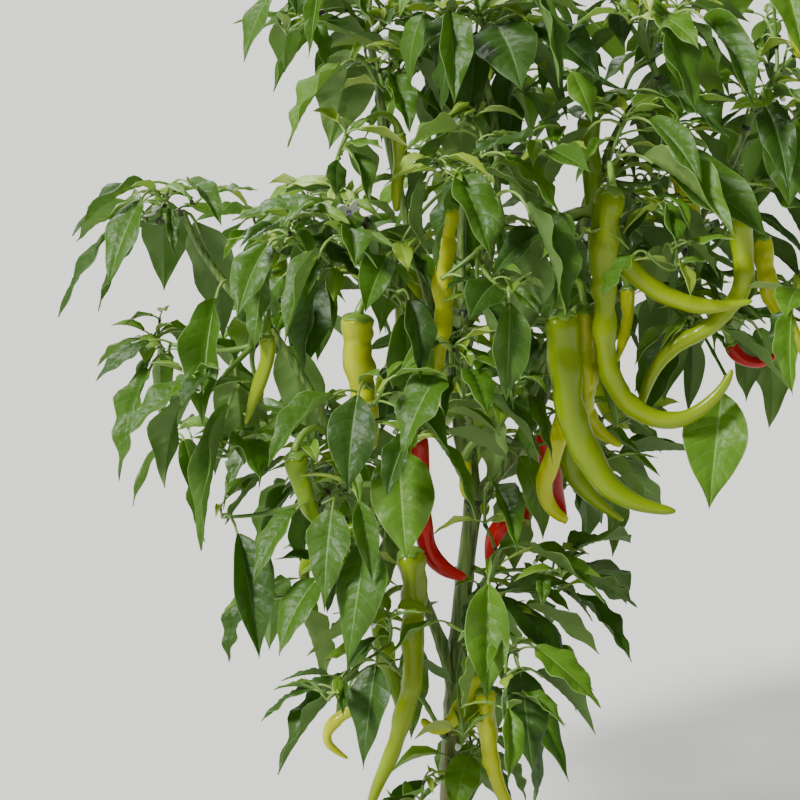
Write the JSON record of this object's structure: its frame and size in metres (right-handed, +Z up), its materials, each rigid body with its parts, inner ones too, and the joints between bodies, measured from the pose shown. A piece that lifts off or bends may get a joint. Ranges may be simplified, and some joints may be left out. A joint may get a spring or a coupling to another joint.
{
  "type": "chilli pepper plant",
  "caption": "Bushy chilli pepper plant in fruit: green branching stem, drooping pointed leaves, long curved yellow-green pods and a few red ones.",
  "frame": {"origin": "centre of the flat cut under the main stem, at ground level", "axes": "+Z up the plant; +X to the right and +Y away from the viewer in the pictured view"},
  "size_m": [0.5335, 0.4163, 0.6621],
  "materials": {
    "stem": "smooth ribbed green stem, darker at its joints",
    "foliage": "satin dark green leaves with glossy yellow-green pods"
  },
  "bodies": {
    "root": {"stem": "stem", "bough_left_lower": "stem", "bough_left_middle": "stem", "bough_left_end": "stem", "bough_centre": "stem", "bough_centre_left": "stem", "bough_centre_front": "stem", "bough_upper_left": "stem", "bough_top": "stem", "bough_right_lower": "stem", "bough_right_middle": "stem", "bough_upper_right": "stem", "bough_far_right": "stem", "bough_far_right_top": "stem", "bough_back": "stem", "bough_back_left": "stem", "bough_back_right": "stem", "bough_back_top": "stem", "bough_low_back_left": "stem", "bough_low_back_right": "stem", "foliage_left_tip": "foliage", "foliage_left": "foliage", "foliage_low_left": "foliage", "foliage_centre_left": "foliage", "foliage_top_left": "foliage", "foliage_centre": "foliage", "foliage_centre_front": "foliage", "foliage_top": "foliage", "foliage_right": "foliage", "foliage_right_middle": "foliage", "foliage_upper_right": "foliage", "foliage_far_right": "foliage", "foliage_far_right_top": "foliage", "foliage_low_right": "foliage", "foliage_low_front": "foliage", "foliage_low_left_front": "foliage", "foliage_foot": "foliage", "foliage_back_left": "foliage", "foliage_back_left_low": "foliage", "foliage_back": "foliage", "foliage_back_right": "foliage", "foliage_back_right_low": "foliage", "foliage_back_top": "foliage"}
  },
  "joints": []
}
